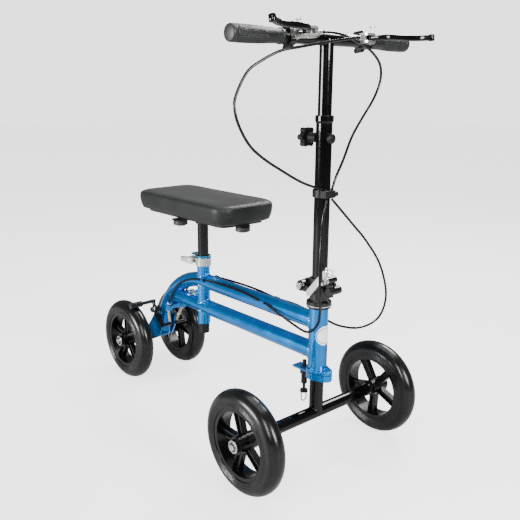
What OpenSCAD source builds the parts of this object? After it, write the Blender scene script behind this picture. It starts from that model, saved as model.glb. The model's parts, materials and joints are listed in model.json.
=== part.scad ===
// Knee scooter: a steerable four-wheel walker with a padded knee rest, a folding
// and telescoping handlebar column, and two cable brakes on the rear tyres.
// X points forward, Y to the rider's left, Z up. The origin is on the ground under
// the middle of the wheelbase. The handlebar is straight ahead at rest.

/* [Wheels] */
// Outside diameter of each tyre
wheel_d = 203; // [196:1:206]
// Width of each tyre
tyre_w = 40; // [34:1:42]
// Distance between the middles of the front tyres
front_track = 376; // [340:1:380]
// Distance between the middles of the rear tyres
rear_track = 162; // [158:1:180]
// Distance from the front axle to the rear axle
wheelbase = 598; // [590:1:606]

/* [Frame] */
// Outside diameter of the two main tubes
main_d = 35; // [33:0.5:36]
// Height of the upper main tube's axis
top_z = 294; // [292:1:296]
// Height of the lower main tube's axis
low_z = 231; // [230:1:234]
// Outside diameter of the head tube
head_d = 38; // [37:0.5:40]
// Outside diameter of the seat tube
seat_tube_d = 30; // [30:0.5:31]
// Distance from the steering axis back to the seat post
post_back = 376; // [370:1:380]
// Radius of the rear bend of the upper main tube, at its axis
bend_r = 185; // [183:1:187]

/* [Column] */
// Outside diameter of the lower column tube
lower_d = 30; // [30:0.5:31]
// Outside diameter of the sliding upper column tube
upper_d = 25.4; // [25:0.1:25.5]
// Height of the handlebar's axis above the ground
bar_z = 820; // [800:1:840]
// Diameter of the handlebar tube
bar_d = 22.2; // [22:0.1:22.4]
// Length of the handlebar between the grips' outer ends
bar_w = 443; // [430:1:470]
// Length of each grip
grip_l = 110; // [100:1:115]
// Distance between two height holes
hole_pitch = 30; // [25:1:32]

/* [Seat] */
// Diameter of the seat post
post_d = 25.4; // [25:0.1:25.4]
// Length of the knee pad
pad_l = 340; // [320:1:350]
// Width of the knee pad
pad_w = 167; // [150:1:180]
// Thickness of the knee pad
pad_t = 46; // [36:1:50]
// Height of the knee pad's underside
pad_z = 456; // [454:1:458]

/* [Brakes] */
// Tilt of the right brake lever above level, in degrees
pitch_r = 13; // [0:1:15]
// Tilt of the left brake lever above level, in degrees
pitch_l = 6; // [0:1:15]
// Diameter of the brake cable's outer housing
cable_d = 5; // [4:0.5:6]

/* [Hidden] */

$fn = 64;
eps = 0.01;
gap = 0.3;                       // clearance between parts that move past each other
fit = 0.05;                      // radial running clearance of shafts in bores

// Main places
steer_x = wheelbase / 2;
axle_x = -wheelbase / 2;
wheel_r = wheel_d / 2;
post_x = steer_x - post_back;

// Wheel
rim_r = 70;
rim_wall = 7.5;
rim_w = 34;
hub_half = 26;
spoke_w = 14;
spoke_h = 13;
axle_r = 6;
cap_t = 3;
cap_hex_t = 3.5;

// Frame
wall = 2;
bend_x = post_x + 7;             // where the upper main tube starts to bend down
bend_sweep = 86;                 // degrees that the bend turns through
head_bottom = 199;
head_top = 325;
stem_d = 28;
stop_z = 191;                    // underside of the fixed stop plate
steer_plate_z = 178;
plate_r = 22;
nose_r = 14;
nose_x = 22;
tab_z = 184;
tab_end = 58;
plunger_x = 35;
seat_tube_bottom = 189;
seat_tube_top = 352;
clamp_z = 332;
clamp_h = 18;
clamp_bolt_x = post_x - 27;
clamp_bolt_z = clamp_z + clamp_h / 2;
screw_z = 262;

// Rear brake
pivot = [-248, 184];
tail = [-210, 150];
bar_pt = [-256, 203.5];
arm_in = 29;
arm_out = 34;
pivot_bolt_r = 4;
boss = [-197, 21, 202];
boss_r = 10;
boss_tilt = 17;
wire_end = [tail[0] - 1, 10, tail[1] + 6];
bracket_in = 18;
bracket_out = 22;

// Column
cap_z = head_top + 6.3;
base_z = 346;
split_z = 367;
head_z = 384;
knuckle_r = 11;
fold_x = steer_x - 32;
fold_z = 364;
latch_x = steer_x + 29;
latch_z = 362;
cam_z = 385;
swage_z = 675;
column_top = 689;
strap_z = 540;
strap_h = 14;
knob_z = 648;
upper_bottom = 500;

// Handlebar controls, measured from the bar's axis before the tilt
clamp_y = 92;
lever_pivot = [30, 80];
grip_in = bar_w / 2 - grip_l;

// Brake cable routes, right lever to right brake and left lever to left brake
upper_right = [[333, -45, 828], [329, -20, 829], [327, 8, 827], [321, 42, 821], [313, 95, 808],
    [305, 136, 788], [299, 154, 767], [295, 155, 743], [295, 139, 715], [299, 104, 681],
    [305, 70, 648], [313, 39, 607], [317, 17, 579], [317.5, 6, 555]];
upper_left = [[334, 45, 824], [332, 20, 820], [330, -17, 815], [321, -87, 803], [313, -123, 796],
    [305, -157, 780], [299, -184, 761], [295, -205, 722], [297, -207, 697], [300, -198, 670],
    [303, -180, 643], [307, -155, 622], [311, -118, 600], [314, -70, 575], [315, -16, 556]];
middle_right = [[318, -8, 537.5], [319, -17, 505], [320, -21, 464], [324, -27, 418], [330, -31, 361],
    [329, -28, 335], [323, -25, 305], [311, -25.5, 287], [297, -26, 278], [280, -26, 277],
    [238, -24, 285], [190, -21.5, 296], [164, -20.2, 302.5]];
middle_left = [[318, 6, 537.5], [322, 28, 515], [323, 66, 480], [322, 105, 445], [319, 157, 386],
    [313, 190, 313], [303, 181, 262], [293, 134, 248], [285, 80, 262], [279, 44, 282],
    [262, 27, 294], [215, 21.5, 303], [164, 20.2, 302.5]];
frame_right = [[150.5, -20.2, 302.5], [100, -19, 307], [45, -18.5, 308], [-10, -18.5, 306.5],
    [-47, -19, 304], [-86, -20.4, 298], [-125, -21.5, 286], [-155, -21.5, 268], [-176, -21.5, 246],
    [-188, -21.3, 224], [-193, -21, 215]];

// ---------------------------------------------------------------- helpers

module mirror_y() {
    children();
    mirror([0, 1, 0]) children();
}

// Cylinder along Y between two Y values
module y_rod(x, z, y0, y1, r) {
    translate([x, y0, z]) rotate([-90, 0, 0]) cylinder(r = r, h = y1 - y0);
}

// Cylinder along X between two X values
module x_rod(x0, x1, y, z, r) {
    translate([x0, y, z]) rotate([0, 90, 0]) cylinder(r = r, h = x1 - x0);
}

// Cylinder between two points
module rod(a, b, r) {
    v = b - a;
    translate(a) rotate([0, acos(v[2] / norm(v)), atan2(v[1], v[0])]) cylinder(r = r, h = norm(v));
}

module ring(z, h, r_out, r_in) {
    translate([0, 0, z]) difference() {
        cylinder(r = r_out, h = h);
        translate([0, 0, -1]) cylinder(r = r_in, h = h + 2);
    }
}

// Points of a Catmull-Rom curve through a list of points
function spline(a, b, c, d, t) = 0.5 * (2 * b + (c - a) * t
    + (2 * a - 5 * b + 4 * c - d) * t * t + (3 * b - a - 3 * c + d) * t * t * t);
function curve_at(pts, u) = let (n = len(pts) - 1, s = min(floor(u * n), n - 1))
    spline(pts[max(s - 1, 0)], pts[s], pts[s + 1], pts[min(s + 2, n)], u * n - s);
function unit(v) = v / norm(v);
function carried(dirs, i, v) = let (w = unit(v - (v * dirs[i]) * dirs[i]))
    i == len(dirs) - 1 ? [w] : concat([w], carried(dirs, i + 1, w));

// A round tube swept along a curve
module swept(pts, d, rings, sides = 8) {
    c = [for (i = [0 : rings - 1]) curve_at(pts, i / (rings - 1))];
    dirs = [for (i = [0 : rings - 1]) unit(c[min(i + 1, rings - 1)] - c[max(i - 1, 0)])];
    side = carried(dirs, 0, [0.31, 0.43, 0.85]);
    verts = [for (i = [0 : rings - 1]) for (k = [0 : sides - 1]) let (a = 360 * k / sides)
        c[i] + d / 2 * (cos(a) * side[i] + sin(a) * cross(dirs[i], side[i]))];
    walls = [for (i = [0 : rings - 2]) for (k = [0 : sides - 1]) let (m = (k + 1) % sides)
        [i * sides + k, (i + 1) * sides + k, (i + 1) * sides + m, i * sides + m]];
    ends = [[for (k = [0 : sides - 1]) k], [for (k = [sides - 1 : -1 : 0]) (rings - 1) * sides + k]];
    polyhedron(verts, concat(walls, ends));
}

// ---------------------------------------------------------------- wheels

// Tyre with a round tread, flat bead and two shallow rings in each sidewall
module tyre() {
    r = tyre_w / 2;
    bead = 19 / 20 * r;
    rotate([90, 0, 0]) rotate_extrude($fn = 128) difference() {
        union() {
            translate([wheel_r - r, 0]) circle(r = r);
            translate([rim_r, -bead]) square([wheel_r - r - rim_r, 2 * bead]);
        }
        translate([0, -tyre_w]) square([rim_r, 2 * tyre_w]);
        for (s = [-1, 1]) {
            translate([rim_r + 7, s * r]) circle(r = 1.4, $fn = 24);
            translate([rim_r + 15, s * (r + 0.1)]) circle(r = 1.2, $fn = 24);
        }
    }
}

// One spoke: a thin web with a tall rib along each edge
module spoke() {
    from = 12;
    to = rim_r - rim_wall + 1;
    translate([from, -spoke_w / 2 + 1, -1.5]) cube([to - from, spoke_w - 2, 3]);
    for (s = [-1, 1]) rotate([0, 0, s * 1.2])
        translate([from, s * (spoke_w / 2 - 1.5) - 1.5, -spoke_h / 2]) cube([to - from, 3, spoke_h]);
}

// Five-spoke plastic rim and hub, axis along Y
module rim(phase) {
    rotate([90, 0, 0]) difference() {
        union() {
            ring(-rim_w / 2, rim_w, rim_r, rim_r - rim_wall);
            translate([0, 0, -21]) cylinder(r = 17, h = 42);
            translate([0, 0, -hub_half]) cylinder(r = 12.5, h = 2 * hub_half);
            for (i = [0 : 4]) rotate([0, 0, phase + 72 * i]) spoke();
        }
        translate([0, 0, -hub_half - 1]) cylinder(r = axle_r + fit, h = 2 * hub_half + 2);
    }
}

module front_wheel_at(side) {
    translate([steer_x, side * front_track / 2, wheel_r]) children();
}

module rear_wheel_at(side) {
    translate([axle_x, side * rear_track / 2, wheel_r]) children();
}

module tyre_front_right() color("#1b1b1c") front_wheel_at(-1) tyre();
module tyre_front_left() color("#1b1b1c") front_wheel_at(1) tyre();
module tyre_rear_right() color("#1b1b1c") rear_wheel_at(-1) tyre();
module tyre_rear_left() color("#1b1b1c") rear_wheel_at(1) tyre();
module rim_front_right() color("#0e0e0f") front_wheel_at(-1) rim(36);
module rim_front_left() color("#0e0e0f") front_wheel_at(1) rim(50);
module rim_rear_right() color("#0e0e0f") rear_wheel_at(-1) rim(20);
module rim_rear_left() color("#0e0e0f") rear_wheel_at(1) rim(62);

// Bright washer and hex bolt head on the outer end of each axle
module axle_caps(x, track) {
    y0 = track / 2 + hub_half + 0.4;
    mirror_y() {
        y_rod(x, wheel_r, y0, y0 + cap_t - 1, 12.5);
        y_rod(x, wheel_r, y0, y0 + cap_t, 9.5);
        translate([x, y0 + cap_t, wheel_r]) rotate([-90, 0, 0]) cylinder(r = 6.5, h = cap_hex_t, $fn = 6);
    }
}

module front_axle_caps() color("silver") axle_caps(steer_x, front_track);
module rear_axle_caps() color("silver") axle_caps(axle_x, rear_track);

// ---------------------------------------------------------------- frame

// Round bar that fills the upper main tube, also used to mitre what meets it
module top_solid(r, sweep = bend_sweep) {
    x_rod(bend_x, steer_x, 0, top_z, r);
    translate([bend_x, 0, top_z - bend_r]) rotate([90, 0, 0])
        rotate_extrude(angle = sweep, start = 90, $fn = 128) translate([bend_r, 0]) circle(r = r);
}

module seat_tube_solid() {
    translate([post_x, 0, seat_tube_bottom]) cylinder(d = seat_tube_d, h = seat_tube_top - seat_tube_bottom);
}

module head_solid() {
    translate([steer_x, 0, stop_z]) cylinder(d = head_d, h = head_top - stop_z);
}

// Outline shared by the stop plate and the steering plate: round, drawn out to a nose in front
module plate_solid(h) {
    hull() {
        cylinder(r = plate_r, h = h);
        translate([nose_x, 0, 0]) cylinder(r = nose_r, h = h);
    }
}

// Head tube with the fixed stop plate at its foot
module head_tube() color("#1c86d1") translate([steer_x, 0, 0]) difference() {
    union() {
        translate([0, 0, stop_z]) cylinder(d = head_d, h = head_top - stop_z);
        translate([0, 0, stop_z]) plate_solid(head_bottom - stop_z);
    }
    translate([0, 0, stop_z - 1]) cylinder(r = stem_d / 2 + 2.5, h = head_top);
}

// Upper main tube, bent down at the rear
module top_tube() color("#1c86d1") difference() {
    top_solid(main_d / 2);
    top_solid(main_d / 2 - wall, bend_sweep - 1.5);
    head_solid();
    seat_tube_solid();
    y_rod(pivot[0], pivot[1], -30, 30, pivot_bolt_r);
}

// Lower main tube, mitred to the head tube and to the bend
module lower_tube() color("#1c86d1") difference() {
    x_rod(bend_x - bend_r * sin(45), steer_x, 0, low_z, main_d / 2);
    x_rod(bend_x - bend_r, steer_x + 1, 0, low_z, main_d / 2 - wall);
    top_solid(main_d / 2);
    head_solid();
    seat_tube_solid();
    translate([steer_x - plunger_x, 0, low_z - 30]) cylinder(r = 4.6, h = 22);
}

// Seat tube through both main tubes, with a boss for the clamp screw
module seat_tube() color("#1c86d1") difference() {
    union() {
        seat_tube_solid();
        translate([post_x, 0, screw_z]) rotate([0, 90, 225]) cylinder(r = 8, h = seat_tube_d / 2 + 4);
    }
    translate([post_x, 0, seat_tube_bottom - 1]) cylinder(r = post_d / 2 + 0.1, h = 200);
    translate([post_x, 0, seat_tube_top - 24]) rotate([0, 0, 180]) translate([0, -1.5, 0]) cube([30, 3, 30]);
}

// Side plate of the rear axle bracket
module bracket_plate() {
    outline = [[-314, 106], [-310, 92], [-299, 86.5], [-280, 90], [-246, 107], [-233, 132],
        [-232, 162], [-262, 172], [-280, 146]];
    rotate([90, 0, 0]) linear_extrude(bracket_out - bracket_in) polygon(outline);
}

// Channel that carries the rear axle under the end of the bent tube
module axle_channel() {
    translate([0, bracket_out, 0]) bracket_plate();
    translate([0, -bracket_in, 0]) bracket_plate();
    translate([-283, -bracket_in - eps, 94]) rotate([0, -24, 0]) cube([36, 2 * (bracket_in + eps), 4]);
    y_rod(axle_x, wheel_r, -bracket_in, bracket_in, 11);
}

// Two round cable bosses on a bridge in the corner of the two main tubes
module cable_bridge() {
    mirror_y() translate(boss) rotate([0, boss_tilt, 0]) cylinder(r = boss_r, h = 14, center = true);
    translate([boss[0], 0, boss[2]]) rotate([0, boss_tilt, 0]) cube([9, 2 * boss[1], 12], center = true);
    translate([boss[0] - 6, 0, boss[2] + 4]) rotate([0, -45, 0]) cube([20, 12, 12], center = true);
}

// Steel parts welded to the rear of the frame
module rear_bracket() color("#186fb4") difference() {
    union() {
        axle_channel();
        cable_bridge();
    }
    y_rod(axle_x, wheel_r, -30, 30, axle_r);
    top_solid(main_d / 2);
    x_rod(bend_x - bend_r, 0, 0, low_z, main_d / 2);
    mirror_y() translate(boss) rotate([0, boss_tilt, 0]) cylinder(r = 4, h = 20, center = true);
}

// Rear axle with a spacer sleeve on each side
module rear_axle() color("#151516") {
    y_rod(axle_x, wheel_r, -rear_track / 2 - hub_half - 0.4, rear_track / 2 + hub_half + 0.4, axle_r);
    mirror_y() y_rod(axle_x, wheel_r, bracket_out, rear_track / 2 - hub_half - 0.5, 10);
}

// Bright adjuster in each boss, where the cable's housing ends
module cable_adjusters() color("#d8dade") mirror_y() translate(boss) rotate([0, boss_tilt, 0]) difference() {
    union() {
        translate([0, 0, -11]) cylinder(r = 4, h = 22);
        translate([0, 0, 7]) cylinder(r = 6.5, h = 4);
        translate([0, 0, -12]) cylinder(r = 6, h = 5);
    }
    translate([0, 0, -15]) cylinder(r = 1.2, h = 30);
}

// Bearing cups at both ends of the head tube, the upper one with a flange
module head_cups() color("#141415") translate([steer_x, 0, 0]) {
    ring(stop_z, 12, stem_d / 2 + 2.5, stem_d / 2 + fit);
    ring(head_top - 14, 14, stem_d / 2 + 2.5, stem_d / 2 + fit);
    ring(head_top, 6, 23.5, stem_d / 2 + fit);
}

// Bright band round the top of the seat tube, with two ears and the skewer
module seat_clamp() color("#d8dade") difference() {
    union() {
        translate([post_x, 0, 0]) ring(clamp_z, clamp_h, 18.5, seat_tube_d / 2);
        mirror_y() translate([clamp_bolt_x - 8, 2.5, clamp_z + 1]) cube([18, 7.5, clamp_h - 2]);
        y_rod(clamp_bolt_x, clamp_bolt_z, -11.2, 13, 3);
        y_rod(clamp_bolt_x, clamp_bolt_z, 10, 18, 7);
    }
    translate([post_x, 0, 0]) cylinder(d = seat_tube_d, h = 500);
}

// Blue cap that closes the clamp, with a lug over the ears
module seat_clamp_cap() color("#1f7fa8") difference() {
    union() {
        translate([post_x, 0, seat_tube_top]) cylinder(r = 18.5, h = 4);
        translate([clamp_bolt_x - 10, -8, seat_tube_top]) cube([18, 16, 4]);
    }
    translate([post_x, 0, 0]) cylinder(r = post_d / 2 + 0.1, h = 500);
}

// Quick-release lever on the skewer's right end, pointing back
module seat_lever() color("#d8dade") translate([clamp_bolt_x, 0, clamp_bolt_z]) {
    translate([0, -19, -7.5]) cylinder(r = 7.5, h = 15);
    hull() {
        translate([-4, -20, -6]) cylinder(r = 5, h = 12, $fn = 32);
        translate([-26, -24, -5]) cylinder(r = 3.5, h = 10, $fn = 32);
    }
}

// Wing screw that locks the seat post between the main tubes
module seat_screw() color("#e4e5e8") translate([post_x, 0, screw_z]) rotate([0, 90, 225]) {
    translate([0, 0, seat_tube_d / 2 + 4 + gap]) cylinder(r = 7.5, h = 2);
    translate([0, 0, seat_tube_d / 2 + 6]) cylinder(r = 4.5, h = 12);
    for (s = [-1, 1]) hull() {
        translate([0, s * 3, 26]) rotate([0, 90, 0]) cylinder(r = 3.5, h = 3, center = true, $fn = 32);
        translate([0, s * 11, 33]) rotate([0, 90, 0]) cylinder(r = 5, h = 3, center = true, $fn = 32);
    }
}

// Cable guide on each side of the upper main tube
module cable_guides() color("#1c86d1") difference() {
    mirror_y() {
        x_rod(151, 163, 20.2, 302.5, 4);
        translate([152, 13, 298]) cube([10, 8, 6]);
        x_rod(-56, -48, 20.6, 303.5, 4.2);
        translate([-55, 12, 299]) cube([6, 8, 6]);
    }
    top_solid(main_d / 2);
    mirror_y() x_rod(-60, -40, 20.6, 303.5, 3.4);
    mirror_y() swept([for (p = frame_right) [p[0], -p[1], p[2]]], cable_d + 0.6, 18);
}

// ---------------------------------------------------------------- seat

module seat_post() color("#0c0c0d") translate([post_x, 0, 0])
    ring(seat_tube_bottom - 1, pad_z - 10 - seat_tube_bottom + 1, post_d / 2, post_d / 2 - wall);

// Ribbed plug in the foot of the seat post
module post_plug() color("#18181a") translate([post_x, 0, 165]) difference() {
    cylinder(r = post_d / 2, h = seat_tube_bottom - 1 - 165);
    for (i = [0 : 7]) rotate([0, 0, 45 * i]) translate([post_d / 2 + 0.6, 0, 3]) cylinder(r = 2, h = 15);
}

// Steel cross under the pad, with a collar for the post
module pad_bracket() color("#151516") {
    z = pad_z - 10;
    translate([post_x, 0, z - 14]) difference() {
        cylinder(r = 17, h = 14);
        translate([0, 0, -1]) cylinder(r = post_d / 2, h = 16);
    }
    translate([-73 - 150, -14, z]) cube([300, 28, 4]);
    mirror_y() translate([post_x - 14, 14, z]) cube([28, 62, 4]);
}

// Four round plastic knobs that hold the pad to the cross
module pad_knobs() color("#3b3c3e") {
    places = [[-73 + 141, 0], [-73 - 141, 0], [post_x, 62], [post_x, -62]];
    for (p = places) translate([p[0], p[1], pad_z - 19]) {
        cylinder(r = 16, h = 9);
        translate([0, 0, -2]) cylinder(r = 11, h = 2);
    }
}

// Rounded rectangle about the pad's middle
module pad_slab(l, w, r, z, h) {
    translate([-73, 0, z]) hull() for (sx = [-1, 1]) for (sy = [-1, 1])
        translate([sx * (l / 2 - r), sy * (w / 2 - r), 0]) cylinder(r = r, h = h, $fn = 32);
}

module pad_board() color("#2a2b2c") pad_slab(pad_l - 46, pad_w - 46, 20, pad_z - 6, 6);

// Upholstered knee pad, a little narrower at the foot
module knee_pad() color("#333435") hull() {
    pad_slab(pad_l - 18, pad_w - 16, 26, pad_z, 2);
    pad_slab(pad_l, pad_w, 30, pad_z + 12, pad_t - 22);
    pad_slab(pad_l - 16, pad_w - 16, 26, pad_z + pad_t - 1, 1);
}

// ---------------------------------------------------------------- steering

// Steerer tube from the axle up through the head tube
module steer_stem() color("#0f0f10") difference() {
    translate([steer_x, 0, wheel_r]) cylinder(d = stem_d, h = base_z - wheel_r);
    translate([steer_x, 0, 0]) cylinder(d = stem_d - 2 * wall - 2, h = 400);
    y_rod(steer_x, wheel_r, -40, 40, 12.7);
}

// Front axle tube with a stub for each wheel
module front_axle() color("#0f0f10") {
    y0 = front_track / 2 - hub_half - 0.5;
    y1 = front_track / 2 + hub_half + 0.4;
    difference() {
        y_rod(steer_x, wheel_r, -y0, y0, 12.7);
        y_rod(steer_x, wheel_r, -y0 + 12, y0 - 12, 10.7);
    }
    mirror_y() {
        y_rod(steer_x, wheel_r, y0 - eps, y1, axle_r);
        translate([steer_x - 24, y0 - 13, wheel_r - 9]) difference() {
            cube([14, 5, 18]);
            y_rod(24, 9, -1, 6, 12.7);
        }
    }
}

// Steering plate on the stem: nose in front, tab for the plunger behind
module steer_plate() color("#1c86d1") {
    h = stop_z - gap - steer_plate_z;
    translate([steer_x, 0, steer_plate_z]) difference() {
        union() {
            plate_solid(h);
            translate([-tab_end, -12, tab_z - steer_plate_z]) cube([tab_end, 24, 4]);
        }
        translate([0, 0, -1]) cylinder(d = stem_d, h = 40);
        translate([-plunger_x, 0, -1]) cylinder(r = 6.4, h = 40);
    }
}

// Threaded plunger housing in the tab
module plunger_body() color("#101011") translate([steer_x - plunger_x, 0, 0]) difference() {
    union() {
        translate([0, 0, 152]) cylinder(r = 6.4, h = 38);
        translate([0, 0, 174]) cylinder(r = 9.5, h = 10, $fn = 6);
    }
    translate([0, 0, 140]) cylinder(r = 3.2, h = 60);
}

// Lock pin with its foot collar and the wire pull ring
module plunger_pin() color("#2a2a2c") translate([steer_x - plunger_x, 0, 0]) {
    translate([0, 0, 134]) cylinder(r = 3, h = 68);
    translate([0, 0, 190 + gap]) cylinder(r = 4.2, h = 12);
    translate([0, 0, 133]) cylinder(r = 8.2, h = 4.5);
    for (s = [-1, 1]) translate([0, s * 7, 120]) cylinder(r = 1.1, h = 14, $fn = 24);
    translate([0, 0, 120]) rotate([0, 90, 0]) rotate_extrude(angle = 180, start = -90)
        translate([7, 0]) circle(r = 1.1, $fn = 24);
}

// Rotating cap of the upper headset bearing
module headset_cap() color("#121213") translate([steer_x, 0, 0]) difference() {
    union() {
        translate([0, 0, cap_z]) cylinder(r = 24.5, h = 6);
        translate([0, 0, cap_z + 6]) cylinder(r1 = 24.5, r2 = 19, h = 4);
        translate([0, 0, cap_z + 6]) cylinder(r = 18.5, h = base_z - cap_z - 6);
    }
    translate([0, 0, cap_z - 1]) cylinder(d = stem_d, h = 40);
}

// Lower half of the folding joint, with two outer knuckles and a front saddle
module fold_base() color("#0d0d0e") difference() {
    union() {
        translate([steer_x, 0, base_z]) cylinder(r = 19, h = split_z - gap - base_z);
        mirror_y() y_rod(fold_x, fold_z, 9, 20, knuckle_r);
        mirror_y() translate([fold_x, 9, fold_z - 10]) cube([steer_x - fold_x - 5, 10, 12]);
        translate([steer_x, -9, base_z + 3]) cube([latch_x - steer_x, 18, latch_z - base_z - 3]);
    }
    y_rod(latch_x, latch_z, -30, 30, 8 + gap);
    y_rod(fold_x, fold_z, -9 + eps, 9 - eps, knuckle_r + gap);
    y_rod(fold_x, fold_z, -30, 30, 4);
    translate([steer_x - 22, -60, split_z - gap]) cube([80, 120, 20]);
    translate([latch_x - 8 - gap, -20, latch_z]) cube([40, 40, 20]);
}

// Hinge pin of the folding joint, with a bright nut on the right
module fold_pin() color("#c9cbd0") {
    y_rod(fold_x, fold_z, -24, 22, 4);
    y_rod(fold_x, fold_z, 20, 23, 7);
    translate([fold_x, -20, fold_z]) rotate([90, 0, 0]) cylinder(r = 7.5, h = 6, $fn = 6);
}

// ---------------------------------------------------------------- column

// Upper half of the folding joint
module fold_head() color("#0d0d0e") difference() {
    union() {
        translate([steer_x, 0, split_z]) cylinder(r = 19, h = head_z - split_z);
        y_rod(fold_x, fold_z, -9 + gap, 9 - gap, knuckle_r);
        translate([fold_x, -9 + gap, split_z]) cube([16, 18 - 2 * gap, 10]);
        mirror_y() translate([steer_x, 4.4, split_z]) cube([latch_x - steer_x - 9, 6.6, 11]);
        mirror_y() translate([steer_x, 4.4, split_z + 4.4]) cube([latch_x - steer_x + 5, 6.6, 6.6]);
    }
    y_rod(fold_x, fold_z, -30, 30, 4 + fit);
    y_rod(latch_x, latch_z, -30, 30, 8 + 2 * gap);
}

// Lower column tube with a swaged mouth
module lower_column() color("#0f0f10") difference() {
    translate([steer_x, 0, 0]) rotate_extrude() polygon([[13, head_z], [lower_d / 2, head_z],
        [lower_d / 2, swage_z], [17, swage_z + 4], [17, column_top - 1], [16, column_top],
        [13, column_top]]);
    x_rod(steer_x - 20, steer_x + 20, 0, knob_z, 4.2);
}

// Strap round the column that holds both cables in front
module cable_strap() color("#0b0b0c") difference() {
    union() {
        translate([steer_x, 0, strap_z]) cylinder(r = 18.5, h = strap_h);
        translate([steer_x + 10, -15, strap_z]) cube([13, 27, strap_h]);
        translate([steer_x + 20, 8, strap_z + 3]) cube([5, 9, 8]);
    }
    translate([steer_x, 0, 0]) cylinder(d = lower_d, h = 600);
}

// Latch: cross barrel in the saddle, drawbolt and the cam's cross barrel above
module latch_bar() color("#111112") difference() {
    union() {
        y_rod(latch_x, latch_z, -8, 24, 8);
        translate([latch_x, 0, latch_z]) cylinder(r = 3, h = cam_z - latch_z);
        y_rod(latch_x, cam_z, -11.5, 11.5, 6.3);
    }
    y_rod(latch_x, cam_z, -13, 13, 3);
}

// Cam lever: pin, side plate, long handle down the right side and wire bail
module cam_lever() color("#d2d3cf") {
    y_rod(latch_x, cam_z, -24, 13, 3 - fit);
    y_rod(latch_x, cam_z, -18, -12, 7);
    hull() {
        y_rod(latch_x, cam_z, -24, -20.5, 7);
        y_rod(latch_x + 5, cam_z + 17, -24, -20.5, 6);
    }
    hull() {
        y_rod(latch_x + 5, cam_z + 17, -25, -20.5, 6);
        y_rod(steer_x - 1, cam_z - 27, -29, -23.5, 6.5);
    }
    translate([latch_x + 6, -12, cam_z + 20]) rotate([0, 30, 0]) rotate([0, 0, 90])
        rotate_extrude(angle = 350, start = 0) translate([8, 0]) circle(r = 1.5, $fn = 24);
}

// Round bolt head in front of the height holes
module height_bolt() color("#1a1a1b") translate([steer_x, 0, knob_z]) rotate([0, 90, 0]) {
    translate([0, 0, 13.6]) cylinder(r = 4, h = 2);
    translate([0, 0, 15.2]) cylinder(r = 9.5, h = 5);
    translate([0, 0, 20.2]) cylinder(r1 = 9.5, r2 = 6.5, h = 3);
}

// Star knob with six lobes behind the column
module star_knob() color("#202022") translate([steer_x, 0, knob_z]) rotate([0, -90, 0]) {
    translate([0, 0, 13.6]) cylinder(r = 4, h = 4);
    translate([0, 0, 15.6]) cylinder(r = 9.2, h = 22.4);
    translate([0, 0, 38]) cylinder(r = 14, h = 12);
    for (i = [0 : 5]) rotate([0, 0, 60 * i + 30]) translate([14.4, 0, 38]) cylinder(r = 5, h = 12);
}

// Sliding upper tube with its row of height holes
module upper_tube() color("#0f0f10") difference() {
    translate([steer_x, 0, upper_bottom]) cylinder(d = upper_d, h = bar_z - upper_bottom);
    translate([steer_x, 0, upper_bottom - 1]) cylinder(d = upper_d - 2 * wall, h = 400);
    for (i = [-3 : 3]) x_rod(steer_x - 20, steer_x + 20, 0, knob_z + hole_pitch * i, 4);
    y_rod(steer_x, bar_z, -30, 30, bar_d / 2);
}

module handlebar() color("#0f0f10") translate([steer_x, 0, bar_z]) rotate([90, 0, 0])
    ring(-bar_w / 2 + 4, bar_w - 8, bar_d / 2, bar_d / 2 - wall);

// Grips that swell towards the middle and close over the bar's ends
module grips() color("#1f2021") mirror_y() translate([steer_x, grip_in, bar_z]) rotate([-90, 0, 0])
    rotate_extrude() polygon([[bar_d / 2, 0], [13.6, 0], [13.6, 4], [13, 5], [13.4, 25], [14.4, 50],
        [14.8, 75], [14.8, 96], [14.5, 104], [13.6, 108], [11.5, grip_l], [0, grip_l], [0, grip_l - 4],
        [bar_d / 2, grip_l - 4]]);

// Puts a right-side control at the bar, tilted about the bar's axis
module on_bar(pitch) {
    translate([steer_x, 0, bar_z]) rotate([0, -pitch, 0]) mirror([0, 1, 0]) children();
}

// Puts a left-side control at the bar
module on_bar_left(pitch) {
    translate([steer_x, 0, bar_z]) rotate([0, -pitch, 0]) children();
}

// Split clamp round the bar with a bolt boss above and below
module bar_clamp() difference() {
    union() {
        y_rod(0, 0, clamp_y - 6, clamp_y + 7, 15.5);
        for (s = [-1, 1]) x_rod(-15, 3, clamp_y, s * 15, 4.5);
    }
    y_rod(0, 0, 0, 200, bar_d / 2);
    translate([12, 60, -20]) cube([20, 60, 40]);
}

module bar_clamps() color("#101011") {
    on_bar(pitch_r) bar_clamp();
    on_bar_left(pitch_l) bar_clamp();
}

// Lever body: two jaws round the lever's hub, pivot pin and cable adjuster
module perch() difference() {
    union() {
        for (z = [4.3, -8.3]) translate([0, 0, z]) linear_extrude(4)
            polygon([[12, 99], [24, 97], [37, 88], [39, 64], [34, 56], [27, 56], [23, 66], [20, 86], [12, 86]]);
        translate([12, 88, -8.3]) cube([9, 11, 16.6]);
        translate([27, 56, -8.3]) cube([8, 9, 16.6]);
        translate([lever_pivot[0], lever_pivot[1], -9.5]) cylinder(r = 2.5, h = 19);
        y_rod(31, 0, 48, 57, 4.5);
    }
    y_rod(31, 0, 40, 60, 1.5);
    translate([27, 92, 0]) cylinder(r = 2.1, h = 30);
}

module perches() color("#cfd1d4") {
    on_bar(pitch_r) perch();
    on_bar_left(pitch_l) perch();
}

// Push pin on top of the lever body that locks the brake on
module lock_pin() {
    translate([27, 92, 5]) cylinder(r = 2, h = 15);
    translate([27, 92, 19.5]) cylinder(r = 4.5, h = 2.5);
}

module lock_pin_right() color("#9a9c9f") on_bar(pitch_r) lock_pin();
module lock_pin_left() color("#9a9c9f") on_bar_left(pitch_l) lock_pin();

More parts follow.
